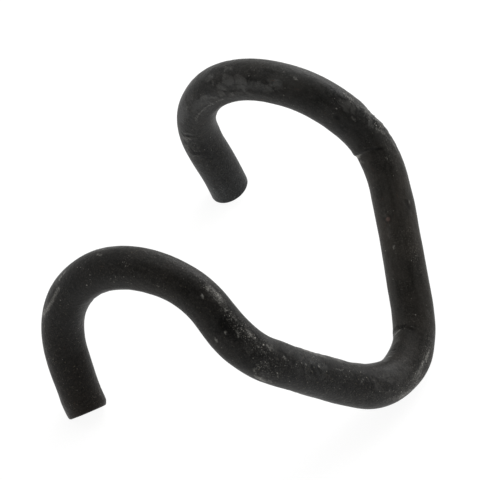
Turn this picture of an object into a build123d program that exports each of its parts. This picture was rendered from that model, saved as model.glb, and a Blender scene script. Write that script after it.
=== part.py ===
"""Bent bar holdback clip: one length of round steel bar, hot bent to a mirrored shape.

The bar runs from one cut tip up over a hooked heel, forward along an arm, down a leg to the
nose, round the nose and back the same way on the other side. The clip stands on its nose
and its two tips.

Frame: millimetres, +Z up, the nose points to -Y and the heels to +Y, and the bar mirrors in
the YZ plane. The origin is the middle of the footprint, on the ground.
"""

import os
from math import cos, pi, radians, sin, sqrt, tan

from build123d import *

# ---- driving dimensions -------------------------------------------------------------
bar_diameter = 16.0

# bend radii, to the middle of the bar
nose_radius = 31.0
shoulder_radius = 40.0
elbow_radius = 32.0
heel_radius = 39.0

# straight stretches left between the bends
leg_straight = 44.0  # nose to shoulder
link_straight = 5.0  # shoulder to elbow
arm_straight = 2.0  # elbow to heel

# heading of each stretch, followed from the nose to the tip: the splay out from the
# mirror plane and the rise above the ground, in degrees
leg_splay, leg_rise = 37.5, 53.0
link_splay, link_rise = -8.5, 41.0
arm_splay, arm_rise = -2.0, -3.0
tip_splay, tip_rise = 8.5, -111.0

tip_edge_radius = 1.0  # rim of each cropped tip

# ---- worked out ---------------------------------------------------------------------
bar_radius = bar_diameter / 2


def heading(splay, rise):
    """Unit direction of a stretch on the +X side."""
    s, r = radians(splay), radians(rise)
    return Vector(sin(s), cos(s) * cos(r), cos(s) * sin(r))


def tangent_length(radius, before, after):
    """Distance from a bend's corner to where the bend of that radius begins."""
    return radius * tan(radians(before.get_angle(after)) / 2)


def mirrored(v):
    """The same point or direction on the -X side."""
    return Vector(-v.X, v.Y, v.Z)


leg = heading(leg_splay, leg_rise)
link = heading(link_splay, link_rise)
arm = heading(arm_splay, arm_rise)
tip = heading(tip_splay, tip_rise)
leg_reversed = mirrored(leg) * -1  # the far leg, coming down to the nose

nose_tangent = tangent_length(nose_radius, leg_reversed, leg)
shoulder_tangent = tangent_length(shoulder_radius, leg, link)
elbow_tangent = tangent_length(elbow_radius, link, arm)
heel_tangent = tangent_length(heel_radius, arm, tip)

# how far the nose bend's middle lies behind the corner of its two straights
half_nose_turn = radians(leg_reversed.get_angle(leg)) / 2
nose_setback = nose_radius / cos(half_nose_turn) - nose_radius
nose_inward = Vector(0, leg.Y, leg.Z).normalized()

# corners of the route with the nose corner first, at x = y = 0, and the underside of the
# nose bend on the ground
nose = Vector(0, 0, bar_radius - nose_setback * nose_inward.Z)
shoulder = nose + leg * (nose_tangent + leg_straight + shoulder_tangent)
elbow = shoulder + link * (shoulder_tangent + link_straight + elbow_tangent)
heel = elbow + arm * (elbow_tangent + arm_straight + heel_tangent)

# each tip is cropped square at the height where its rounded rim also meets the ground
tip_lean = sqrt(1 - tip.Z**2)
tip_height = (bar_radius - tip_edge_radius) * tip_lean + tip_edge_radius * (1 + tip.Z)
tip_end = heel + tip * ((tip_height - heel.Z) / tip.Z)
tip_straight = (tip_end - heel).length - heel_tangent

half_route = [shoulder, elbow, heel, tip_end]
route = [mirrored(p) for p in reversed(half_route)] + [nose] + half_route
side_radii = [heel_radius, elbow_radius, shoulder_radius]
bend_radii = side_radii + [nose_radius] + side_radii[::-1]

# the front of the nose bend and the back of the heel bends both lie a bar radius outside
# the middle line, so the middle line's own box gives the middle of the footprint
with BuildLine() as uncentred_line:
    FilletPolyline(*route, radius=bend_radii)
line_box = uncentred_line.line.bounding_box()
centre_shift = Vector(0, -(line_box.min.Y + line_box.max.Y) / 2, 0)
route = [p + centre_shift for p in route]

# ---- the bar ------------------------------------------------------------------------
with BuildPart() as clip_bar:
    with BuildLine() as middle_line:
        middle = FilletPolyline(*route, radius=bend_radii)
    with BuildSketch(Plane(origin=route[0], z_dir=route[1] - route[0])):
        Circle(bar_radius)
    sweep(path=middle_line.line)
    tip_faces = clip_bar.faces().filter_by(GeomType.PLANE)
    fillet(tip_faces.edges(), tip_edge_radius)
clip_bar.part.label = "clip_bar"

# ---- write --------------------------------------------------------------------------
os.makedirs("parts", exist_ok=True)
export_step(clip_bar.part, "parts/clip_bar.step")

bar_length = middle.length
swept_volume = bar_length * pi * bar_radius**2
box = clip_bar.part.bounding_box()
print(f"overall {box.size.X:.1f} x {box.size.Y:.1f} x {box.size.Z:.1f} mm, bottom {box.min.Z:.3f}")
print(f"bar length {bar_length:.1f}, tip straight {tip_straight:.1f}")
print(f"volume {clip_bar.part.volume:.0f}, section x length {swept_volume:.0f}")
print("tip end", tip_end + centre_shift, "heading", tip)
print("nose corner", nose + centre_shift)
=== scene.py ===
"""Looks of the bent bar holdback clip.

One round steel bar, hot bent to a mirrored shape and left black from the forge. The CAD bar
gives its place and size. The skin made here follows the same middle line and adds what
heat, dies and shears leave on such a bar: mill scale that has cracked and lifted, the edges
of the bending dies, pits, rubbed places and the cropped tips. Its colour also holds painted
light and shade: a tone along the bar that is partly painted light and shade, a painted
highlight and painted shade at the die marks, and painted glints on the specks.

Lengths are millimetres until a mesh is made, and metres from then on.
"""

import bpy
import numpy as np
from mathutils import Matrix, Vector


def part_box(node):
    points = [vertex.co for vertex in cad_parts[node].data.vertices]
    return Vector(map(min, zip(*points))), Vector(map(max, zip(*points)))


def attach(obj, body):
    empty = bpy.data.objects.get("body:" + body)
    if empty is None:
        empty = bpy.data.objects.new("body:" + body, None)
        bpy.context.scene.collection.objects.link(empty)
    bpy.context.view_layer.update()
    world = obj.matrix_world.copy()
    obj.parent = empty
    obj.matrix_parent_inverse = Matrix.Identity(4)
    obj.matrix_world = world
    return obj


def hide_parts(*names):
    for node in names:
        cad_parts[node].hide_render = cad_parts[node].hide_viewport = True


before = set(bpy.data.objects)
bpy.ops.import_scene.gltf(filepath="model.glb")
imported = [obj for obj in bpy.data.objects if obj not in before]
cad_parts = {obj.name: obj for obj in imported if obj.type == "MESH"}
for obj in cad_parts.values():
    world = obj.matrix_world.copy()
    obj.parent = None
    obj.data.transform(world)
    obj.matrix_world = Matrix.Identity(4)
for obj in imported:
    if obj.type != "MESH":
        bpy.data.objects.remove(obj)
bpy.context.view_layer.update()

MM = 0.001

# ---- the bar's route, as the CAD has it -----------------------------------------------
BAR_RADIUS = 8.0
NOSE_RADIUS, SHOULDER_RADIUS, ELBOW_RADIUS, HEEL_RADIUS = 31.0, 40.0, 32.0, 39.0
LEG_STRAIGHT, LINK_STRAIGHT, ARM_STRAIGHT = 44.0, 5.0, 2.0
LEG, LINK, ARM, TIP = (37.5, 53.0), (-8.5, 41.0), (-2.0, -3.0), (8.5, -111.0)  # splay, rise
TIP_EDGE = 1.0  # rounding of the tip's rim

# degrees from the outside of the nose bend up to the line along the bar that counts as 0
FRONT = 62.0

# ---- the skin's grid ------------------------------------------------------------------
ROWS = 924  # along the bar, about half a millimetre apart
SPOKES = 104  # round the bar, about half a millimetre apart
RIM = 0.7  # rounding of the tip's rim, crisper than the plain bar's
RIM_RINGS, FACE_RINGS = 4, 12  # rows over the rim's rounding and over the tip's face

# ---- cropped tips ---------------------------------------------------------------------
# each is (left tip, right tip): one was cropped aslant, and the other nearly square
CUT_OUT = (1.9, 0.2)  # how far the cut stands out at the middle line
CUT_LEAN = (0.12, 0.0)  # mm the cut gains for each mm across towards 0 degrees
CUT_SLOPE = (0.51, 0.05)  # mm it loses for each mm across towards 90 degrees
DRAG = (0.9, 0.2)  # how deep the blade dragged the rim in
DRAG_LENGTH, DRAG_SIDE = 6.6, 20.0  # how far along, and at which degrees round the bar
CUT_LENGTH = 10.0  # how far from the end the rows start to follow the cut
CUT_BLEND = 0.2  # rounding between the aslant cut and the flat dressed on it
GROUND_GAP = 0.05  # how far a dressed tip is kept above the ground

# ---- view: a long lens from the left and above, level ---------------------------------
SENSOR, LENS = 36.0, 348.75
VIEW = (-65.43, 45.15)  # azimuth and elevation
VIEW_DISTANCE = 1778.0
AIM = (0.0, 11.3, 48.3)

# ---- soft boxes -----------------------------------------------------------------------
BOX_DISTANCE = 1500.0
BOX_AIM = (0.0, 0.0, 30.0)
SOFT_BOXES = [  # name, azimuth, elevation, width, height, watts
    ("back_box", 88.0, 20.0, 1100.0, 700.0, 12.0),
    ("top_box", 115.0, 65.0, 1100.0, 900.0, 7.0),
    ("left_box", -160.0, 35.0, 900.0, 700.0, 1.5),
]
# the dome's glow falls from the first level to the second as the direction turns to the
# lens, between these two cosines
DOME_LEVELS, DOME_COSINES = (0.72, 0.10), (0.1, 0.8)
TABLE_REACH = 6000.0


# ---- camera ---------------------------------------------------------------------------
def outward(azimuth, elevation):
    """Unit direction from a target to what looks at it. At azimuth 0 it looks along +Y."""
    a, e = np.radians([azimuth, elevation])
    return Vector((np.sin(a) * np.cos(e), -np.cos(a) * np.cos(e), np.sin(e)))


def place(obj, back, distance, target):
    """Puts an object that far from the target, in the direction back, looking at it."""
    obj.location = Vector(target) * MM + back * distance * MM
    obj.rotation_mode = "QUATERNION"
    obj.rotation_quaternion = (-back).to_track_quat("-Z", "Y")


def make_camera():
    data = bpy.data.cameras.new("camera")
    data.sensor_width = SENSOR
    data.lens = LENS
    camera = bpy.data.objects.new("camera", data)
    bpy.context.scene.collection.objects.link(camera)
    place(camera, outward(*VIEW), VIEW_DISTANCE, AIM)
    bpy.context.scene.camera = camera


# ---- middle line ----------------------------------------------------------------------
def heading(splay, rise):
    """Unit direction of a stretch on the +X side."""
    s, r = np.radians([splay, rise])
    return np.array([np.sin(s), np.cos(s) * np.cos(r), np.cos(s) * np.sin(r)])


def unit(v):
    return v / np.linalg.norm(v)


def half_route():
    """Stretches from the middle of the nose to the right tip, each (length, radius, start,
    direction, inward): radius None is a straight, and inward points to a bend's centre."""
    leg, link, arm, tip = (heading(*h) for h in (LEG, LINK, ARM, TIP))
    across = np.array([1.0, 0.0, 0.0])
    bends = [
        (across, leg, NOSE_RADIUS, LEG_STRAIGHT),
        (leg, link, SHOULDER_RADIUS, LINK_STRAIGHT),
        (link, arm, ELBOW_RADIUS, ARM_STRAIGHT),
        (arm, tip, HEEL_RADIUS, None),
    ]
    point = np.array([0.0, 0.0, BAR_RADIUS])
    stretches = []
    for before, after, radius, straight in bends:
        angle = np.arccos(before @ after)
        inward = unit(after - (before @ after) * before)
        stretches.append((radius * angle, radius, point, before, inward))
        point = point + radius * (np.sin(angle) * before + (1 - np.cos(angle)) * inward)
        if straight is None:  # the tip's straight runs down to the ground
            lean = np.sqrt(1 - tip[2] ** 2)
            end = (BAR_RADIUS - TIP_EDGE) * lean + TIP_EDGE * (1 + tip[2])
            straight = (end - point[2]) / tip[2]
        stretches.append((straight, None, point, after, inward))
        point = point + after * straight
    return stretches


ROUTE = half_route()
HALF_LENGTH = sum(stretch[0] for stretch in ROUTE)


def turned(v, a, direction, inward):
    """A cross direction v, carried round a bend by the angle a: its share along inward turns
    with the bend, and its share along the bend's axis stays."""
    axis = np.cross(direction, inward)
    toward = np.cos(a) * inward - np.sin(a) * direction
    return (v @ inward) * toward + (v @ axis) * axis


def bar_line(s):
    """Middle line, heading and the two cross directions (out, side) at s mm from the nose.

    A straight is start + direction * l. A bend is start + R (sin a * direction + (1 - cos a)
    * inward), with a = l / R. The cross directions turn with the bends and never twist.
    The left half, s < 0, is the right half with x turned round.
    """
    run = np.abs(s)
    line, ahead, out, side = (np.zeros((len(s), 3)) for _ in range(4))
    across, outside = ROUTE[0][3], -ROUTE[0][4]
    front = np.radians(FRONT)
    out_now = np.cos(front) * outside - np.sin(front) * np.cross(across, outside)
    side_now = np.cross(across, out_now)
    reached = 0.0
    for length, radius, start, direction, inward in ROUTE:
        here = (run >= reached - 1e-9) & (run <= reached + length + 1e-9)
        l = (run[here] - reached)[:, None]
        if radius is None:
            line[here] = start + direction * l
            ahead[here], out[here], side[here] = direction, out_now, side_now
        else:
            a = l / radius
            line[here] = start + radius * (np.sin(a) * direction + (1 - np.cos(a)) * inward)
            ahead[here] = np.cos(a) * direction + np.sin(a) * inward
            out[here] = turned(out_now, a, direction, inward)
            side[here] = turned(side_now, a, direction, inward)
            out_now = turned(out_now, length / radius, direction, inward)
            side_now = turned(side_now, length / radius, direction, inward)
        reached += length
    left = s < 0
    for v in (line, out, side):
        v[left, 0] *= -1
    ahead[left, 1:] *= -1
    return line, ahead, out, side


# ---- noise ----------------------------------------------------------------------------
def hashed(ix, iy, iz, seed):
    """A repeatable value from 0 to 1 for each cell of a lattice: the cell's three whole
    numbers and the seed are multiplied by large odd numbers and mixed with shifts."""
    h = ix * 374761393 + iy * 668265263 + iz * 1442695041 + seed * 1274126177
    h = h.astype(np.int64) & 0xFFFFFFFF
    h = ((h ^ (h >> 15)) * 2246822519) & 0xFFFFFFFF
    h = ((h ^ (h >> 13)) * 3266489917) & 0xFFFFFFFF
    return ((h ^ (h >> 16)) & 0xFFFFFF) / 0xFFFFFF


def noise(q, size, seed):
    """Smooth noise from -1 to 1 with lumps of the given size: hashed corner values of the
    cell, blended by 6f^5 - 15f^4 + 10f^3 along each axis."""
    p = q / size
    base = np.floor(p).astype(np.int64)
    f = p - base
    f = f * f * f * (f * (f * 6 - 15) + 10)
    total = np.zeros(len(q))
    for dx in (0, 1):
        for dy in (0, 1):
            for dz in (0, 1):
                weight = (
                    np.abs(1 - dx - f[:, 0]) * np.abs(1 - dy - f[:, 1]) * np.abs(1 - dz - f[:, 2])
                )
                corner = hashed(base[:, 0] + dx, base[:, 1] + dy, base[:, 2] + dz, seed)
                total += weight * corner
    return total * 2 - 1


def layered(q, size, seed, layers=4):
    """Noise summed over layers, each half the size and half the height of the last."""
    total = sum(noise(q, size / 2**k, seed + k) / 2**k for k in range(layers))
    return total / (2 - 2 ** (1 - layers))


def plates(q, size, seed):
    """Cells round scattered points: returns each place's distance to the edge of its cell,
    in mm, and a value from 0 to 1 that is the same all over the cell."""
    p = q / size
    base = np.floor(p).astype(np.int64)
    nearest = np.full(len(q), 9.0)
    second = np.full(len(q), 9.0)
    value = np.zeros(len(q))
    for dx in (-1, 0, 1):
        for dy in (-1, 0, 1):
            for dz in (-1, 0, 1):
                cell = base + np.array([dx, dy, dz])
                ids = (cell[:, 0], cell[:, 1], cell[:, 2])
                point = cell + np.stack([hashed(*ids, seed + k) for k in range(3)], axis=1)
                away = np.linalg.norm(p - point, axis=1)
                closer = away < nearest
                second = np.where(closer, nearest, np.minimum(second, away))
                value = np.where(closer, hashed(*ids, seed + 7), value)
                nearest = np.where(closer, away, nearest)
    return (second - nearest) * size / 2, value


def smooth_step(x, low, high):
    """0 below low, 1 above high, and 3t^2 - 2t^3 between."""
    t = np.clip((x - low) / (high - low), 0, 1)
    return t * t * (3 - 2 * t)


def angle_from(theta, centre):
    """Degrees round the bar from the centre, -180 to 180."""
    return (theta - centre + 180) % 360 - 180


def spot(s, theta, at_s, at_theta, reach, spread):
    """A soft patch, 1 in its middle: exp(-(ds / reach)^2 - (dtheta / spread)^2)."""
    return np.exp(-(((s - at_s) / reach) ** 2) - (angle_from(theta, at_theta) / spread) ** 2)


# ---- what the forge leaves ------------------------------------------------------------
UNEVEN = (0.10, 24.0)  # how far hot bar is off true, and over what length
SCALE_LUMPS = (0.035, 2.4)  # how high the scale's own lumps are, and how far apart
PLATE_SIZE, PLATE_HEIGHT = 3.2, 0.13

# Places are (mm along the bar from the middle of the nose, the right side positive; degrees
# round the bar, 0 in front at the nose). A reach is in mm along the bar and a spread in
# degrees round it.

# where bending left the section fat or flat: (place, reach, spread, mm)
SWELLS = [
    ((-235, 180), 5, 38, 0.65),
    ((-233, 2), 4, 30, 0.15),
    ((-216, 6), 10, 34, 0.50),
    ((-200, 172), 10, 34, 0.30),
    ((-186, 150), 20, 35, 0.35),
    ((-180, -15), 14, 35, -0.25),
    ((-171, -44), 8, 30, -0.32),
    ((-146, 116), 20, 35, 0.42),
    ((-129, -77), 6, 30, -0.22),
    ((-96, 98), 12, 38, 0.80),
    ((-81, 92), 5, 28, 0.14),
    ((-76, 86), 4, 26, -0.12),
    ((-75, -92), 9, 32, 0.90),
    ((-71, -95), 4, 26, -0.20),
    ((-57, 83), 6, 30, 0.32),
    ((-40, 83), 14, 32, 0.78),
    ((-37, -97), 4, 28, -0.28),
    ((-19, -117), 13, 42, 1.35),
    ((-9, -136), 6, 28, -0.15),
    ((6, 28), 10, 32, 1.10),
    ((18, 17), 4, 28, 0.22),
    ((10, -165), 8, 26, -0.45),
    ((24, -166), 9, 30, 0.34),
    ((36, -166), 7, 30, 0.18),
    ((57, -166), 8, 30, -0.18),
    ((45, -5), 22, 30, 0.35),
    ((66, 14), 8, 30, 0.30),
    ((74, 12), 6, 30, -0.25),
    ((95, 16), 3, 28, 0.12),
    ((101, 15), 4, 28, -0.45),
    ((107, 18), 4, 28, 0.22),
    ((128, -158), 26, 32, 0.45),
    ((118, -159), 7, 28, 0.12),
    ((166, 180), 14, 32, 0.26),
    ((180, -28), 12, 35, -0.55),
    ((194, -55), 15, 34, -0.22),
    ((194, 122), 7, 30, -0.28),
    ((205, 107), 4, 28, 0.20),
    ((222, 105), 12, 32, 0.45),
    ((227, -80), 8, 34, -0.35),
]
# edges of the bending dies: (s, middle of the mark, half width round the bar, pressed depth)
DIE_EDGES = [
    (91.0, -128, 72, 0.75),
    (14.5, -122, 58, 0.65),
    (-88.0, -160, 50, 0.25),
]
# outsides of bends, where the scale has cracked across the bar: (place, reach, spread, mm)
CRACKED = [
    ((100, -10), 15, 30, 0.36),
    ((114, -40), 8, 20, 0.20),
    ((2, -6), 13, 26, 0.22),
    ((-60, -86), 12, 20, 0.24),
    ((202, -118), 8, 30, 0.34),
    ((-174, -5), 12, 22, 0.12),
    ((-65, 70), 14, 20, 0.16),
    ((-200, -140), 9, 32, 0.18),
    ((166, -20), 18, 30, 0.10),
]
# scale standing in broken plates: (place, reach, spread)
PLATED = [
    ((-64, -38), 14, 50),
    ((-30, -35), 16, 40),
    ((-86, 30), 8, 40),
    ((106, -50), 14, 30),
    ((158, -85), 22, 50),
    ((-150, 160), 30, 50),
    ((60, 120), 30, 60),
]
# specks, where grains of scale have broken off bright, their brightness partly painted glints:
# (place, reach, spread, how thick)
SPECKED_AND_GLINTS = [
    ((-114, -28), 7, 16, 0.9),
    ((-106, -20), 8, 16, 1.0),
    ((-98, -20), 8, 22, 1.0),
    ((-90, -20), 7, 24, 0.8),
    ((-82, 12), 9, 44, 0.6),
    ((-76, -16), 10, 34, 0.5),
    ((-52, -5), 16, 50, 0.3),
    ((-30, -10), 14, 50, 0.4),
    ((-10, 4), 12, 30, 0.8),
    ((4, -14), 9, 22, 0.6),
    ((102, -14), 12, 26, 0.4),
    ((-160, -10), 50, 90, 0.035),
    ((-140, 40), 40, 70, 0.06),
]
# paler places, where the scale is thin or rubbed: (place, reach, spread, strength)
RUBBED = [
    ((-114, -30), 5, 15, 0.42),
    ((-104, -27), 5, 10, 0.20),
    ((-121, -30), 5, 10, 0.15),
    ((-96, -26), 3, 8, 0.34),
    ((-86, -38), 4, 12, 0.26),
    ((-62, -80), 9, 11, 0.40),
    ((-48, -72), 6, 10, 0.28),
    ((-82, 62), 4, 10, 0.42),
    ((-22, -50), 14, 12, 0.12),
    ((-2, -52), 10, 16, 0.12),
    ((-12, 20), 9, 14, 0.34),
    ((1, -12), 10, 9, 0.42),
    ((8, -122), 5, 14, 0.22),
    ((-190, 14), 5, 14, 0.30),
    ((-176, 12), 6, 16, 0.14),
    ((97, -16), 8, 11, 0.14),
    ((108, -24), 7, 12, 0.10),
    ((88, -12), 4, 10, 0.25),
    ((141, -88), 12, 26, 0.14),
    ((158, -58), 10, 30, 0.12),
    ((170, -118), 12, 22, 0.12),
    ((60, -112), 9, 22, 0.10),
    ((40, -30), 22, 9, 0.12),
    ((22, -28), 12, 10, 0.12),
    ((-34, 60), 16, 14, 0.14),
]
# patches of thin, even scale with a clear edge: (place, reach, spread, strength)
THINNED = [
    ((-67, -56), 9, 30, 0.9),
    ((-60, -38), 6, 14, 0.9),
    ((-76, -52), 5, 16, 0.6),
    ((-88, -60), 5, 14, 0.5),
    ((-14, -42), 13, 20, 0.6),
    ((-36, 62), 14, 14, 0.4),
    ((-2, 24), 12, 14, 0.4),
    ((150, -95), 14, 24, 0.6),
    ((170, -116), 12, 22, 0.6),
    ((186, -96), 9, 24, 0.6),
    ((134, -72), 9, 26, 0.4),
    ((166, -60), 12, 24, 0.4),
    ((60, -112), 12, 18, 0.35),
    ((222, -70), 14, 40, 0.5),
]
# the scale's tone and grain along the bar, from fire to fire: (s, how pale, how warm, how
# coarse), 1 where it is neither more nor less. How pale is partly the scale's own tone and
# partly painted light and shade, paler where light fell on the bar and darker where it was shaded
FIRES_AND_PAINTED_LIGHT = [
    (-236, 0.40, 1.60, 1.0),
    (-205, 0.40, 1.10, 1.8),
    (-170, 0.48, 0.98, 1.1),
    (-135, 0.90, 1.02, 0.9),
    (-100, 0.82, 0.97, 1.0),
    (-60, 0.56, 0.92, 1.8),
    (-15, 0.84, 1.00, 1.2),
    (15, 1.35, 1.05, 0.45),
    (58, 1.90, 1.06, 0.3),
    (84, 1.65, 1.02, 0.4),
    (100, 1.20, 0.94, 0.5),
    (128, 1.60, 0.93, 0.4),
    (172, 0.98, 0.95, 0.9),
    (205, 0.84, 0.90, 1.2),
    (236, 1.50, 0.80, 1.0),
]
# sooty places: (place, reach, spread, strength)
SOOTY = [
    ((-103, 8), 8, 18, 0.75),
    ((-80, -56), 3.5, 20, 0.55),
    ((-80, -38), 4, 10, 0.6),
    ((-87, 28), 2.2, 8, 0.8),
    ((-61, -20), 1.8, 7, 0.85),
    ((-73, 10), 7, 22, 0.35),
    ((-44, 2), 7, 9, 0.45),
    ((-30, -12), 8, 16, 0.40),
    ((8, -150), 9, 22, 0.45),
    ((14, -80), 4, 22, 0.45),
    ((96, -120), 7, 40, 0.35),
    ((84, -95), 6, 26, 0.30),
    ((112, -90), 1.6, 8, 0.9),
    ((139, -50), 2.2, 8, 0.6),
    ((141, -107), 1.4, 6, 0.6),
    ((206, -158), 7, 20, 0.55),
    ((182, -160), 9, 12, 0.30),
    ((-185, 95), 16, 22, 0.40),
    ((-214, 130), 8, 16, 0.35),
    ((-7, 12), 1.3, 7, 0.85),
    ((66, -36), 2.0, 8, 0.5),
    ((36, -66), 30, 12, 0.25),
    ((104, -62), 22, 14, 0.30),
]
# single marks, drawn from one place to another: (s, degrees, s, degrees, half width, tone,
# height), bare and pale where the tone is above 0, and dark where it is below, sizes in mm;
# at the die marks the pale is a painted highlight and the dark is painted shade
STROKES = [
    # rubs along the outside of the left heel
    (-172, -8, -175, 1, 0.40, 0.55, 0.00),
    (-177, 22, -182, 28, 0.66, 0.32, 0.00),
    (-182, 28, -187, 25, 0.75, 0.38, 0.00),
    (-187, 24, -192, 14, 0.50, 0.46, 0.00),
    (-190, 10, -193, 6, 0.36, 0.42, 0.00),
    (-155, -14, -157, -19, 0.22, 0.26, 0.00),
    (-155, -40, -159, -36, 0.22, 0.24, 0.00),
    (-189, 150, -195, 147, 0.25, 0.34, 0.00),
    (-228, 157, -233, 158, 0.36, 0.12, 0.00),
    # bright chips on the reverse bend of the left arm
    (-118, -27, -117, -23, 0.36, 0.59, 0.05),
    (-117, 1, -116.6, 3, 0.25, 0.68, 0.05),
    (-114, -32, -112, -27, 0.50, 0.47, 0.04),
    (-109, -21, -108.4, -19, 0.29, 0.59, 0.05),
    (-121, -53, -120.4, -50, 0.50, -0.80, -0.10),
    (-117, -44, -114, -41, 0.45, -0.65, -0.08),
    (-103, 17, -102.6, 20, 0.22, 0.47, 0.04),
    (-100, -4, -99, 1, 0.25, 0.51, 0.04),
    (-103, 53, -101.8, 57, 0.25, 0.38, 0.04),
    (-97, -30, -95.4, -26, 0.50, 0.53, 0.06),
    (-88, -34, -86, -30, 0.36, 0.42, 0.05),
    (-88, 24, -86, 30, 0.16, 0.34, 0.03),
    (-86, 30, -87, 38, 0.16, 0.34, 0.03),
    (-87, 44, -85, 52, 0.18, 0.30, 0.03),
    (-79.4, -30, -78.6, -27, 0.29, 0.42, 0.04),
    (-79, 22, -78, 29, 0.22, 0.32, 0.03),
    (-80, 49, -78, 56, 0.18, 0.29, 0.03),
    # left leg: plates with dark holes, and the chips on its inner edge
    (-68, -29, -67.6, -27, 0.25, 0.64, 0.04),
    (-61, -34, -60.6, -32, 0.25, 0.64, 0.04),
    (-61.5, -24, -60, -16, 0.70, -0.75, -0.14),
    (-80, -36, -74, -22, 0.50, -0.40, -0.05),
    (-66, -88, -61, -80, 0.43, 0.29, 0.10),
    (-60, -74, -55, -70, 0.36, 0.29, 0.08),
    (-50, -80, -47, -76, 0.36, 0.31, 0.08),
    (-47, 2, -38, 8, 0.30, -0.50, -0.07),
    (-40, -14, -31, -22, 0.35, -0.45, -0.06),
    (-52, -39, -47, -37, 0.22, 0.22, 0.00),
    (-36, -28, -37, -20, 0.18, 0.26, 0.00),
    (-84, 60, -80, 68, 0.50, 0.26, 0.04),
    (-67, 76, -63, 68, 0.36, 0.26, 0.06),
    # nose: painted highlights on the die's facets inside and painted shade along its crease,
    # bright flakes in front
    (12.6, -138, 14.4, -118, 0.32, 0.50, 0.00),
    (3.4, -142, 5.6, -130, 0.34, 0.30, 0.00),
    (-6.2, -128, -4.8, -106, 0.26, 0.30, 0.00),
    (14.6, -122, 16.4, -96, 0.42, -0.85, -0.12),
    (16.4, -96, 15.6, -70, 0.40, -0.60, -0.10),
    (1, -140, 0.5, -108, 0.30, -0.45, -0.06),
    (8, -12, 4, -14, 0.29, 0.34, 0.05),
    (2, -18, -1, -14, 0.36, 0.39, 0.05),
    (-2, -4, -5, 4, 0.36, 0.34, 0.04),
    (-9, 16, -14, 22, 0.58, 0.29, 0.03),
    (-7.6, 10, -6.4, 14, 0.50, -0.80, -0.12),
    # right leg: a blister and two dots
    (49.6, -100, 50.2, -99, 0.20, 0.47, 0.04),
    (65.5, -28, 66.3, -27, 0.22, 0.34, 0.03),
    (67, -38, 64, -33, 0.50, -0.55, -0.08),
    (45.5, -32, 42, -37, 0.35, -0.45, -0.06),
    # shoulder and elbow on the right: die mark, a painted highlight on its facet and painted
    # shade along its crease; chips outside
    (91.0, -154, 91.4, -140, 0.62, 0.95, 0.00),
    (91.4, -140, 91.8, -126, 0.29, 0.42, 0.00),
    (88.6, -150, 88.0, -134, 0.58, 0.19, 0.00),
    (93.0, -138, 92.8, -98, 0.35, -0.75, -0.10),
    (92.8, -98, 89.6, -60, 0.42, -0.90, -0.14),
    (102.6, -2, 100.4, 2, 0.50, 0.44, 0.10),
    (97, -38, 93, -26, 0.32, 0.29, 0.05),
    (94, -14, 91, -18, 0.60, -0.50, -0.14),
    (88.6, -8, 86, -4, 0.60, -0.40, -0.14),
    (113.6, -20, 110.6, -16, 0.32, 0.31, 0.05),
    (114.6, -19, 113.8, -16, 0.22, 0.51, 0.05),
    (108, -64, 106, -66, 0.22, 0.22, 0.00),
    # right arm and heel: pits, ticks, a crack
    (129.8, -48, 130.4, -47, 0.22, 0.51, 0.04),
    (138.0, -50, 141, -48, 0.60, -0.60, -0.10),
    (141, -112, 140.6, -104, 0.35, -0.60, -0.10),
    (154.5, -128, 153.5, -117, 0.18, 0.19, 0.00),
    (152.6, -128, 151.6, -116, 0.25, -0.35, -0.05),
    (161, -64, 161, -88, 0.16, 0.22, 0.04),
    (181.5, -100, 180.5, -96, 0.22, 0.31, 0.03),
    (144, -9, 140, -8, 0.40, -0.50, -0.08),
    (150, -10, 146, -8, 0.40, -0.45, -0.08),
    (166, -140, 160, -136, 0.18, 0.22, 0.05),
    (174, -139, 166, -140, 0.18, 0.26, 0.06),
    (183, -137, 174, -139, 0.18, 0.22, 0.05),
    (186, -144, 183, -137, 0.18, 0.17, 0.04),
    # cracks where the right heel ends
    (196, -98, 197.5, -110, 0.30, -0.70, -0.12),
    (197.5, -110, 196.5, -124, 0.28, -0.50, -0.10),
    (200, -104, 203, -116, 0.30, -0.60, -0.12),
    (203, -116, 206, -128, 0.32, -0.80, -0.14),
    (206, -128, 206.5, -142, 0.35, -0.80, -0.14),
    (200, -128, 202, -138, 0.35, -0.70, -0.12),
    (199, -118, 198.4, -128, 0.22, 0.20, 0.04),
]
STROKE_SOFTNESS = 0.12  # added to a stroke's half width, where it fades
BLISTER = (61.0, -101.0, 1.25)  # s, degrees, radius
PITS = 90  # small round pits, scattered
PIT_RADII = (0.35, 0.9)
PIT_DEPTH = 0.22  # as a share of its radius


def all_over(s, theta, places):
    """The strongest of a list of soft patches, each (place, reach, spread[, strength])."""
    total = np.zeros(len(s))
    for centre, reach, spread, *strength in places:
        patch = spot(s, theta, *centre, reach, spread) * (strength[0] if strength else 1.0)
        total = np.maximum(total, patch)
    return total


def die_edges(s, theta):
    """The die pressed the bar on the nose side of a line across it, most at the line:
    depth * exp(-distance / 4 mm). On the other side a lip swells up by a quarter of the
    depth. The line is bowed, 1.5 mm out in its middle, and runs out at its half width."""
    height = np.zeros(len(s))
    for at, middle, half_width, depth in DIE_EDGES:
        turn = angle_from(theta, middle) / half_width
        reach = np.clip(1 - turn**2, 0, 1)
        inside = (at + 1.5 - 2.5 * turn**2 - s) * np.sign(at)
        pressed = smooth_step(inside, -0.4, 0.9) * np.exp(-np.clip(inside, 0, None) / 4.0)
        lip = np.exp(-(((inside + 1.0) / 1.2) ** 2))
        height += reach * depth * (0.25 * lip - pressed)
    return height


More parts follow.
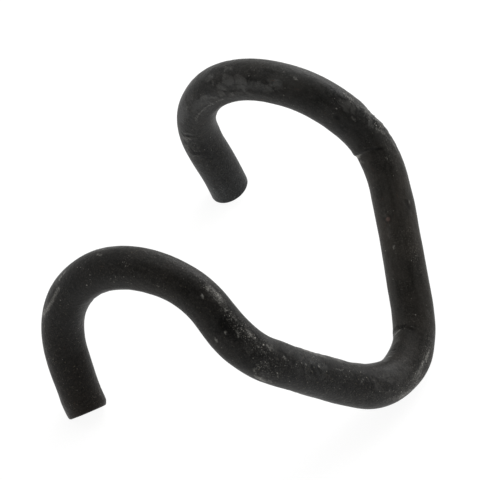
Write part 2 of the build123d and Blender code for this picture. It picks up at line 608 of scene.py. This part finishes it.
def cracks(q, s, theta):
    """Ripples across the bar: ridged noise, 1 - |noise|, drawn out round the bar and
    sharpened, in the cracked places only. Also returns how rough each place is, 0 to 1."""
    squeezed = q * np.array([1.0, 0.35, 0.35])
    wander = noise(q, 5.0, 70)[:, None] * np.array([1.6, 0, 0])
    ridge = 1 - np.abs(noise(squeezed + wander, 1.9, 71))
    rough = np.zeros(len(s))
    for centre, reach, spread, height in CRACKED:
        rough = np.maximum(rough, height * spot(s, theta, *centre, reach, spread))
    lifted = smooth_step(noise(q, 3.0, 72), -0.2, 0.5)
    return rough * (ridge**3 - 0.35) * (0.4 + lifted), smooth_step(rough, 0.03, 0.25)


def scattered_pits(q):
    """Round pits: places drawn from a seeded list, each a bowl -depth * exp(-(d / r)^2)."""
    rng = np.random.default_rng(5)
    depth = np.zeros(len(q))
    for _ in range(PITS):
        at = rng.uniform(-HALF_LENGTH, HALF_LENGTH)
        turn = rng.uniform(0, 2 * np.pi)
        radius = rng.uniform(*PIT_RADII)
        centre = np.array([at, BAR_RADIUS * np.cos(turn), BAR_RADIUS * np.sin(turn)])
        near = np.abs(q[:, 0] - at) < 4 * radius
        away = np.linalg.norm(q[near] - centre, axis=1)
        depth[near] -= PIT_DEPTH * radius * np.exp(-((away / radius) ** 2))
    return depth


def strokes(q, s, theta):
    """The marks' height, and how bare and how dark they are, where at the die marks the bare
    is a painted highlight and the dark is painted shade: exp(-(d / w)^4), where d is the
    distance on the opened-out surface to the line from a mark's first place to its last,
    with a little wander so that its edges are ragged."""
    height, bare_and_painted_highlight, dark = (np.zeros(len(s)) for _ in range(3))
    ragged = 0.3 * noise(q, 0.9, 90)
    for s0, theta0, s1, theta1, width, tone, lift in STROKES:
        near = (s > min(s0, s1) - 3) & (s < max(s0, s1) + 3)
        along = np.array([s1 - s0, np.radians(theta1 - theta0) * BAR_RADIUS])
        x = s[near] - s0
        y = np.radians(angle_from(theta[near], theta0)) * BAR_RADIUS
        share = np.clip((x * along[0] + y * along[1]) / (along @ along), 0, 1)
        away = np.hypot(x - share * along[0], y - share * along[1]) + ragged[near]
        mark = np.exp(-((np.clip(away, 0, None) / (width + STROKE_SOFTNESS)) ** 4))
        height[near] += lift * mark
        target = bare_and_painted_highlight if tone > 0 else dark
        target[near] = np.maximum(target[near], abs(tone) * mark)
    return height, bare_and_painted_highlight, dark


def blister(s, theta):
    """A burst blister: a low dome, 0.08 exp(-(d / 0.75 r)^4), in a ring sunk by 0.10 mm.
    Returns the height, the dome and the ring."""
    at, around, radius = BLISTER
    away = np.hypot(s - at, np.radians(angle_from(theta, around)) * BAR_RADIUS)
    ring = np.exp(-(((away - radius) / 0.4) ** 2))
    dome = np.exp(-((away / (0.75 * radius)) ** 4))
    return 0.08 * dome - 0.10 * ring, dome, ring


def forge_marks(s, theta):
    """Height of the skin above the plain bar, in mm, and the masks for the finish.

    The height is the sum of: layered noise, the swells, the broken plates, which stand or
    are missing cell by cell, the die's edges, the cracks, the strokes, the pits and the
    blister. Each mask is the largest of its soft patches, with an edge made ragged by
    noise. q is the bar pulled straight: (s, r cos theta, r sin theta), so that nothing in
    the pattern shows a seam or stretches in the bends."""
    turn = np.radians(theta)
    q = np.stack([s, BAR_RADIUS * np.cos(turn), BAR_RADIUS * np.sin(turn)], axis=1)

    height = UNEVEN[0] * layered(q, UNEVEN[1], 11, 3)
    height += SCALE_LUMPS[0] * layered(q, SCALE_LUMPS[1], 21, 3)
    for centre, reach, spread, swell in SWELLS:
        height += swell * spot(s, theta, *centre, reach, spread)

    thick = np.clip(all_over(s, theta, PLATED) + 0.35 * layered(q, 16.0, 31, 2), 0, 1)
    broken = smooth_step(thick, 0.25, 0.65)
    bent = q * np.array([0.8, 1, 1]) + 0.7 * noise(q, 1.3, 41)[:, None]
    edge, level = plates(bent, PLATE_SIZE, 51)
    off = smooth_step(level, 0.62, 0.66) * smooth_step(edge, 0.0, 0.25)
    height += broken * PLATE_HEIGHT * (0.5 - off)

    rippled, rough = cracks(q, s, theta)
    drawn, bare_and_painted_highlight, dark = strokes(q, s, theta)
    height += die_edges(s, theta) + rippled + drawn + scattered_pits(q)
    raised, stain, ring = blister(s, theta)
    height += raised

    ragged = 0.30 * layered(q, 2.6, 63, 3)
    fine = 0.18 * layered(q, 1.1, 64, 2)
    rubbed = all_over(s, theta, RUBBED)
    rub = rubbed * smooth_step(rubbed / 0.5 + ragged + fine, 0.15, 0.55)
    rub = np.clip(rub + 0.25 * rough * smooth_step(rippled, 0.0, 0.1), 0, 1)
    thin = all_over(s, theta, THINNED)
    thin = thin * smooth_step(thin + 0.8 * ragged + 0.6 * fine, 0.30, 0.42)
    soot_and_painted_shade = all_over(s, theta, SOOTY)
    soot_and_painted_shade = soot_and_painted_shade * smooth_step(soot_and_painted_shade + ragged + fine, 0.12, 0.5)
    seams = broken * smooth_step(edge, 0.22, 0.05)
    # the dark marks join the soot, and with them the painted shade of the die creases
    soot_and_painted_shade = np.maximum(np.maximum(soot_and_painted_shade, dark), np.maximum(0.5 * ring, 0.4 * seams))
    soot_and_painted_shade = np.clip(soot_and_painted_shade + rough * smooth_step(-rippled, 0.0, 0.1), 0, 1)
    # the fires' tone along the bar, whose paleness is partly painted light and shade
    along, *tones = np.array(FIRES_AND_PAINTED_LIGHT).T
    pale_and_painted_light, warm, coarse = (np.interp(s, along, values) for values in tones)
    pale_and_painted_light = pale_and_painted_light * (1 + 0.6 * broken * (level - 0.5))  # plate by plate
    masks = {
        "specks_and_glints": np.clip(all_over(s, theta, SPECKED_AND_GLINTS) + 0.25 * noise(q, 5.0, 62), 0, 1),
        "rub": rub,
        "bare_and_painted_highlight": bare_and_painted_highlight,
        "thin": thin,
        "pale_and_painted_light": pale_and_painted_light,
        "warm": warm,
        "coarse": coarse,
        "soot_and_painted_shade": soot_and_painted_shade,
        "flake": np.clip(broken * off, 0, 1),
        "stain": stain,
    }
    return height, masks, q


# ---- the skin -------------------------------------------------------------------------
def tip_profile():
    """Rows past the round wall: a quarter circle of the rim, then the flat end in rings."""
    a = np.linspace(0, np.pi / 2, RIM_RINGS + 1)[1:]
    rim = np.stack([RIM * np.sin(a), BAR_RADIUS - RIM * (1 - np.cos(a))], axis=1)
    face_radii = np.linspace(BAR_RADIUS - RIM, 0, FACE_RINGS + 2)[1:-1]
    face = np.stack([np.full(len(face_radii), RIM), face_radii], axis=1)
    return np.concatenate([rim, face])


def shear_cut(across, up, room, cut_out, cut_lean, cut_slope):
    """How far the end stands out past a square cut, in mm. The shear cut it aslant,
    cut_out + cut_lean * across - cut_slope * up, and where that would reach below what the
    clip stands on it is dressed flat: the lower of the two, with the corner between them
    rounded by a soft minimum. The face has the blade's fine ridges, sine waves 1.2 mm
    apart, and a torn part with lumps of noise."""
    aslant = cut_out + cut_lean * across - cut_slope * up
    lower = -CUT_BLEND * np.logaddexp(-aslant / CUT_BLEND, -room / CUT_BLEND)
    torn = smooth_step(across, -2.0, 0.5)
    ridges = 0.04 * np.sin(across * 5.2 + 1.2 * np.sin(up * 0.6))
    lumps = noise(np.stack([across, up * 2.2, up * 0], axis=1), 1.7, 81)
    inner = smooth_step(BAR_RADIUS - RIM - np.hypot(across, up), 0.0, 1.0)
    return lower + inner * (torn * (0.10 * lumps - 0.08) + ridges * (1 - torn))


def bar_skin():
    """The whole skin as one closed grid: rows along the bar, spokes round it, and a pole at
    the middle of each tip. A point is line + r (cos t * out + sin t * side), with r the
    bar's radius and the height of the forge marks. Near a tip the rows are moved along the
    bar to follow the shear cut."""
    wall_end = HALF_LENGTH - RIM
    wall = np.linspace(-wall_end, wall_end, ROWS)
    cap = tip_profile()
    row_s = np.concatenate([-wall_end - cap[::-1, 0], wall, wall_end + cap[:, 0]])
    row_r = np.concatenate([cap[::-1, 1], np.full(ROWS, BAR_RADIUS), cap[:, 1]])
    rows = len(row_s)
    line, ahead, out, side = (np.repeat(v, SPOKES, axis=0) for v in bar_line(row_s))
    s = np.repeat(row_s, SPOKES)
    base = np.repeat(row_r, SPOKES)
    turn = np.tile(np.arange(SPOKES) * 2 * np.pi / SPOKES, rows)

    height, masks, q = forge_marks(s, np.degrees(turn))
    share = base / BAR_RADIUS
    from_end = HALF_LENGTH - np.abs(s)
    # the blade drags one side in over the last few millimetres
    drag = np.where(s < 0, *DRAG) * np.clip(1 - from_end / DRAG_LENGTH, 0, 1)
    drag = drag * np.clip(np.cos(turn - np.radians(DRAG_SIDE)), 0, 1) ** 2
    shown = np.clip(from_end / 2.0, 0.3, 1)  # the marks fade over the last 2 mm
    radius = base + (height * shown - drag) * share
    across, up = radius * np.cos(turn), radius * np.sin(turn)
    round_bar = across[:, None] * out + up[:, None] * side
    # how far along the tip each place could be pushed before it met the ground
    room = (line[:, 2] + round_bar[:, 2] - GROUND_GAP) / -heading(*TIP)[2]
    near_end = np.clip((CUT_LENGTH - from_end) / (CUT_LENGTH - RIM), 0, 1)
    cut = (np.where(s < 0, *pair) for pair in (CUT_OUT, CUT_LEAN, CUT_SLOPE))
    push = near_end * shear_cut(across, up, room, *cut) * np.sign(s)
    points = line + ahead * push[:, None] + round_bar

    ends = [points[:SPOKES].mean(axis=0), points[-SPOKES:].mean(axis=0)]
    points = np.concatenate([points, ends])
    # the fires' tones cross the cut faces, and the other marks fade on them
    face = smooth_step(BAR_RADIUS - base, RIM * 0.5, RIM * 1.2)
    for name in masks:
        tone = name in ("pale_and_painted_light", "warm", "coarse")
        fade = 1 if tone else 1 - 0.7 * face
        middle = [masks[name][0], masks[name][-1]] if tone else [0.0, 0.0]
        masks[name] = np.append(masks[name] * fade, middle)
    masks["cut"] = np.append(face, [1.0, 1.0])
    q[:, 1:] *= share[:, None]
    q = np.concatenate([q, [[-HALF_LENGTH, 0, 0], [HALF_LENGTH, 0, 0]]])

    r, c = np.meshgrid(np.arange(rows - 1), np.arange(SPOKES), indexing="ij")
    near, far = r * SPOKES, (r + 1) * SPOKES
    next_c = (c + 1) % SPOKES
    quads = np.stack([near + c, near + next_c, far + next_c, far + c], axis=-1).reshape(-1, 4)
    here = np.arange(SPOKES)
    beside = (here + 1) % SPOKES
    last = (rows - 1) * SPOKES
    first_pole, last_pole = np.full(SPOKES, rows * SPOKES), np.full(SPOKES, rows * SPOKES + 1)
    first_fan = np.stack([first_pole, beside, here], axis=-1)
    last_fan = np.stack([last_pole, last + here, last + beside], axis=-1)
    return points, quads, np.concatenate([first_fan, last_fan]), masks, q


def make_mesh(name, points, quads, triangles):
    """A mesh from arrays of corners, smooth shaded, in metres."""
    mesh = bpy.data.meshes.new(name)
    loops = np.concatenate([quads.ravel(), triangles.ravel()]).astype(np.int32)
    sizes = np.concatenate([np.full(len(quads), 4), np.full(len(triangles), 3)])
    starts = np.concatenate([[0], np.cumsum(sizes)[:-1]]).astype(np.int32)
    mesh.vertices.add(len(points))
    mesh.vertices.foreach_set("co", (points * MM).ravel())
    mesh.loops.add(len(loops))
    mesh.loops.foreach_set("vertex_index", loops)
    mesh.polygons.add(len(sizes))
    mesh.polygons.foreach_set("loop_start", starts)
    mesh.polygons.foreach_set("use_smooth", np.ones(len(sizes), dtype=bool))
    mesh.update(calc_edges=True)
    mesh.validate()
    return mesh


def make_bar():
    """The forged skin, in place of the plain CAD bar."""
    points, quads, triangles, masks, q = bar_skin()
    # the middle line starts at the nose; the CAD's footprint has its middle at y = 0
    low, high = (np.array(corner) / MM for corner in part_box("clip_bar"))
    closely = np.linspace(0, HALF_LENGTH, 2001)  # every tenth of a millimetre or so
    line_y = bar_line(closely)[0][:, 1]
    points[:, 1] += (low[1] + high[1]) / 2 - (line_y.min() + line_y.max()) / 2
    mesh = make_mesh("forged_bar", points, quads, triangles)
    for name, values in masks.items():
        layer = mesh.attributes.new(name, "FLOAT", "POINT")
        layer.data.foreach_set("value", values.astype(np.float32))
    straight = mesh.attributes.new("straightened", "FLOAT_VECTOR", "POINT")
    straight.data.foreach_set("vector", (q * MM).astype(np.float32).ravel())
    bar = bpy.data.objects.new("forged_bar", mesh)
    bpy.context.scene.collection.objects.link(bar)
    return bar


# ---- finishes -------------------------------------------------------------------------
def linear(hex_colour):
    """An sRGB hex colour as linear RGBA."""
    value = int(hex_colour.lstrip("#"), 16)
    srgb = np.array([value >> 16 & 255, value >> 8 & 255, value & 255]) / 255
    rgb = np.where(srgb <= 0.04045, srgb / 12.92, ((srgb + 0.055) / 1.055) ** 2.4)
    return (*rgb, 1.0)


def add(tree, kind, settings=None, inputs=None):
    """Adds a node. Inputs are a socket's name or number with a value, or an output to link."""
    made = tree.nodes.new(kind)
    for key, value in (settings or {}).items():
        setattr(made, key, value)
    for key, value in (inputs or {}).items():
        if isinstance(value, bpy.types.NodeSocket):
            tree.links.new(value, made.inputs[key])
        else:
            made.inputs[key].default_value = value
    return made


def new_material(name):
    material = bpy.data.materials.new(name)
    material.use_nodes = True
    material.node_tree.nodes.clear()
    return material, material.node_tree


def black_scale_steel():
    """Mill scale on hot-bent spring steel: the grey-black skin that forms at bending heat.
    It gives a nearly black surface with a dry sheen, clouded where the scale is thick or
    has lifted, grainy all over, with bright specks where grains have broken away, their
    brightness partly painted glints. Its tone along the bar is partly painted light and shade,
    and the die marks carry a painted highlight and painted shade."""
    material, tree = new_material("black_scale_steel")

    def mask(name):
        return add(tree, "ShaderNodeAttribute", {"attribute_name": name}).outputs["Fac"]

    def math(operation, a, b=0.0, c=0.0):
        inputs = {0: a, 1: b, 2: c}
        return add(tree, "ShaderNodeMath", {"operation": operation}, inputs).outputs[0]

    def ramp(value, low, high, to_low=0.0, to_high=1.0):
        inputs = {"Value": value, "From Min": low, "From Max": high}
        inputs |= {"To Min": to_low, "To Max": to_high}
        return add(tree, "ShaderNodeMapRange", {"clamp": True}, inputs).outputs["Result"]

    def tint(factor, below, above):
        settings = {"data_type": "RGBA", "clamp_factor": True}
        return add(tree, "ShaderNodeMix", settings, {0: factor, 6: below, 7: above}).outputs[2]

    def grains(size_mm, detail=3.0, where=None):
        inputs = {"Vector": where or straight, "Scale": 1 / (size_mm * MM), "Detail": detail}
        return add(tree, "ShaderNodeTexNoise", {}, inputs).outputs["Fac"]

    def dots(size_mm, thickness, where):
        """Round dots, at most one in each cell of that size: present in a share of the cells,
        with a radius and a brightness drawn for each."""
        inputs = {"Vector": where, "Scale": 1 / (size_mm * MM)}
        cells = add(tree, "ShaderNodeTexVoronoi", {"feature": "F1"}, inputs)
        drawn = add(tree, "ShaderNodeSeparateColor", {}, {"Color": cells.outputs["Color"]})
        lot, wide, bright = (drawn.outputs[k] for k in range(3))
        reach = math("MULTIPLY_ADD", math("POWER", wide, 3.0), 0.22, 0.26)
        dot = ramp(math("DIVIDE", cells.outputs["Distance"], reach), 1.25, 0.55)
        present = math("LESS_THAN", lot, thickness)
        bright = math("MULTIPLY_ADD", math("POWER", bright, 2.5), 0.80, 0.20)
        return math("MULTIPLY", math("MULTIPLY", dot, present), bright)

    named = {"attribute_name": "straightened"}
    straight = add(tree, "ShaderNodeAttribute", named).outputs["Vector"]
    # drawn out along the bar, as rolling leaves it: ten times as long as wide
    squeeze = {"Vector": straight, "Scale": (0.1, 1, 1)}
    drawn = add(tree, "ShaderNodeMapping", {}, squeeze).outputs[0]
    # shaken by up to a quarter of a millimetre, so that the dots aren't round
    shake = add(tree, "ShaderNodeTexNoise", {}, {"Vector": straight, "Scale": 1 / (0.5 * MM)})
    shaking = {0: shake.outputs["Color"], 1: (0.5 * MM,) * 3, 2: straight}
    shaken = add(tree, "ShaderNodeVectorMath", {"operation": "MULTIPLY_ADD"}, shaking).outputs[0]

    cloud = ramp(grains(9.0, 4.0), 0.34, 0.68)  # thick and thin scale, 9 mm
    mottle = ramp(grains(1.6, 4.0), 0.36, 0.70)  # clumps of scale, 1.6 mm
    streak = ramp(grains(2.2, 2.0, drawn), 0.44, 0.66)  # rolling streaks, 2 mm wide
    grain = grains(0.5, 2.0)  # oxide grain, drawn at 0.5 mm, coarser than it is, to show

    coarse = mask("coarse")
    specks_and_glints = mask("specks_and_glints")
    layers = [  # how strong, colour
        # clouds, clumps, rolling streaks, broken plates and thin, even scale
        (cloud, "#272522"),
        (math("MULTIPLY", mottle, math("MULTIPLY_ADD", coarse, 0.30, 0.20)), "#343230"),
        (math("MULTIPLY", streak, 0.22), "#383735"),
        (math("MULTIPLY", mask("flake"), 0.40), "#454340"),
        (math("MULTIPLY", mask("thin"), 0.90), "#4b4a48"),
        # light and dark grain
        (math("MULTIPLY", ramp(grain, 0.52, 0.80, 0.0, 0.5), coarse), "#524f4b"),
        (math("MULTIPLY", ramp(grain, 0.45, 0.26, 0.0, 0.6), coarse), "#050505"),
        # painted glints in the grain between the specks
        (math("MULTIPLY", specks_and_glints, ramp(grain, 0.54, 0.72, 0.0, 0.5)), "#8c8a84"),
        # rust in short streaks, and round the blister
        (ramp(grains(0.8, 2.0, drawn), 0.72, 0.80, 0.0, 0.6), "#4d3223"),
        (math("MULTIPLY", mask("stain"), 0.6), "#544440"),
    ]
    colour = linear("#161614")
    for factor, shade in layers:
        colour = tint(factor, colour, linear(shade))

    # the fires' own tone, partly painted light and shade along the bar: red up and blue down by
    # the square root of the warmth
    pale_and_painted_light, half = mask("pale_and_painted_light"), math("POWER", mask("warm"), 0.5)
    channels = {0: math("MULTIPLY", pale_and_painted_light, half), 1: pale_and_painted_light, 2: math("DIVIDE", pale_and_painted_light, half)}
    fire_and_painted_light = add(tree, "ShaderNodeCombineColor", {}, channels).outputs[0]
    settings = {"data_type": "RGBA", "blend_type": "MULTIPLY"}
    colour = add(tree, "ShaderNodeMix", settings, {0: 1.0, 6: colour, 7: fire_and_painted_light}).outputs[2]

    patchy = math("MULTIPLY", ramp(grain, 0.34, 0.66, 0.3, 1.5), ramp(mottle, 0.0, 1.0, 0.6, 1.3))
    dust = math("MULTIPLY", dots(0.62, 0.30, shaken), coarse)
    # the specks: bare grains, their brightness partly painted glints
    speck_and_glint = dots(0.72, math("MULTIPLY_ADD", specks_and_glints, 0.60, 0.008), shaken)
    layers = [  # rubs, soot with painted shade, bare strokes with painted highlights, dust, specks with painted glints, and the cut faces
        (math("MULTIPLY", math("MULTIPLY", mask("rub"), 0.62), patchy), "#a3a19c"),
        (math("MULTIPLY", mask("soot_and_painted_shade"), 0.85), "#070707"),
        (math("MULTIPLY", mask("bare_and_painted_highlight"), ramp(grain, 0.36, 0.62, 0.15, 1.2)), "#a09e98"),
        (math("MULTIPLY", dust, 0.22), "#8a8270"),
        (math("MULTIPLY", speck_and_glint, math("MULTIPLY_ADD", specks_and_glints, 0.60, 0.40)), "#b4b0a8"),
        (math("MULTIPLY", mask("cut"), 0.5), "#3a3936"),
    ]
    for factor, shade in layers:
        colour = tint(factor, colour, linear(shade))

    rough = ramp(math("MULTIPLY_ADD", grain, 0.6, cloud), 0.0, 1.6, 0.36, 0.56)
    relief = math("MULTIPLY_ADD", mottle, 0.8, math("MULTIPLY", grain, 0.6))
    relief = math("ADD", relief, math("MULTIPLY", speck_and_glint, 0.5))
    raised = {"Height": relief, "Distance": 0.10 * MM, "Strength": 0.9}
    bump = add(tree, "ShaderNodeBump", {}, raised).outputs["Normal"]
    finish = {
        "Base Color": colour,
        "Roughness": rough,
        "Normal": bump,
        "IOR": 1.45,
        "Specular IOR Level": 0.13,  # a porous, sooty skin gives back less than a clean one
    }
    surface = add(tree, "ShaderNodeBsdfPrincipled", {}, finish)
    add(tree, "ShaderNodeOutputMaterial", {}, {"Surface": surface.outputs["BSDF"]})
    return material


def lit_opal_acrylic():
    """Cast opal acrylic sheet, lit from below: an even white that hardly shows a shadow. Its
    matt side has a tooth of about a millimetre, 0.02 mm deep."""
    material, tree = new_material("lit_opal_acrylic")
    where = add(tree, "ShaderNodeTexCoord").outputs["Object"]
    noisy = {"Vector": where, "Scale": 1 / (1.11 * MM)}
    tooth = add(tree, "ShaderNodeTexNoise", {}, noisy).outputs["Fac"]
    bump = add(tree, "ShaderNodeBump", {}, {"Height": tooth, "Distance": 0.02 * MM})
    inputs = {
        "Base Color": linear("#757574"),
        "Roughness": 0.9,
        "Specular IOR Level": 0.1,
        "Emission Color": linear("#ffffff"),
        "Emission Strength": 0.92,
        "Normal": bump.outputs["Normal"],
    }
    surface = add(tree, "ShaderNodeBsdfPrincipled", {}, inputs)
    add(tree, "ShaderNodeOutputMaterial", {}, {"Surface": surface.outputs["BSDF"]})
    return material


# ---- studio ---------------------------------------------------------------------------
def make_floor():
    """A wide lit table under the clip."""
    corners = np.array([[-1, -1, 0], [1, -1, 0], [1, 1, 0], [-1, 1, 0]]) * TABLE_REACH
    mesh = bpy.data.meshes.new("floor")
    mesh.from_pydata((corners * MM).tolist(), [], [(0, 1, 2, 3)])
    floor = bpy.data.objects.new("floor", mesh)
    floor.data.materials.append(lit_opal_acrylic())
    bpy.context.scene.collection.objects.link(floor)


def soft_box(name, azimuth, elevation, width, height, watts):
    data = bpy.data.lights.new(name, "AREA")
    data.shape = "RECTANGLE"
    data.size, data.size_y = width * MM, height * MM
    data.energy = watts
    lamp = bpy.data.objects.new(name, data)
    bpy.context.scene.collection.objects.link(lamp)
    place(lamp, outward(azimuth, elevation), BOX_DISTANCE, BOX_AIM)


def make_light():
    """Soft boxes round a dim dome: bright low down and behind, dark towards the lens."""
    world = bpy.data.worlds.new("dome")
    bpy.context.scene.world = world
    world.use_nodes = True
    tree = world.node_tree
    tree.nodes.clear()
    lens_side = {0: add(tree, "ShaderNodeTexCoord").outputs["Generated"], 1: outward(*VIEW)}
    cosine = add(tree, "ShaderNodeVectorMath", {"operation": "DOT_PRODUCT"}, lens_side)
    inputs = {"Value": cosine.outputs["Value"]}
    inputs |= dict(zip(("From Min", "From Max"), DOME_COSINES))
    inputs |= dict(zip(("To Min", "To Max"), DOME_LEVELS))
    level = add(tree, "ShaderNodeMapRange", {"clamp": True}, inputs).outputs["Result"]
    glow = add(tree, "ShaderNodeBackground", {}, {"Color": (1, 1, 1, 1), "Strength": level})
    add(tree, "ShaderNodeOutputWorld", {}, {"Surface": glow.outputs["Background"]})
    for box in SOFT_BOXES:
        soft_box(*box)


# ---- build ----------------------------------------------------------------------------
make_camera()
make_light()
make_floor()
scale_steel = black_scale_steel()
bar = make_bar()
bar.data.materials.append(scale_steel)
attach(bar, "root")
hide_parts("clip_bar")
cad_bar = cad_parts["clip_bar"]
for material_slot in cad_bar.material_slots:
    material_slot.material = scale_steel
bpy.context.scene.view_settings.view_transform = "Standard"
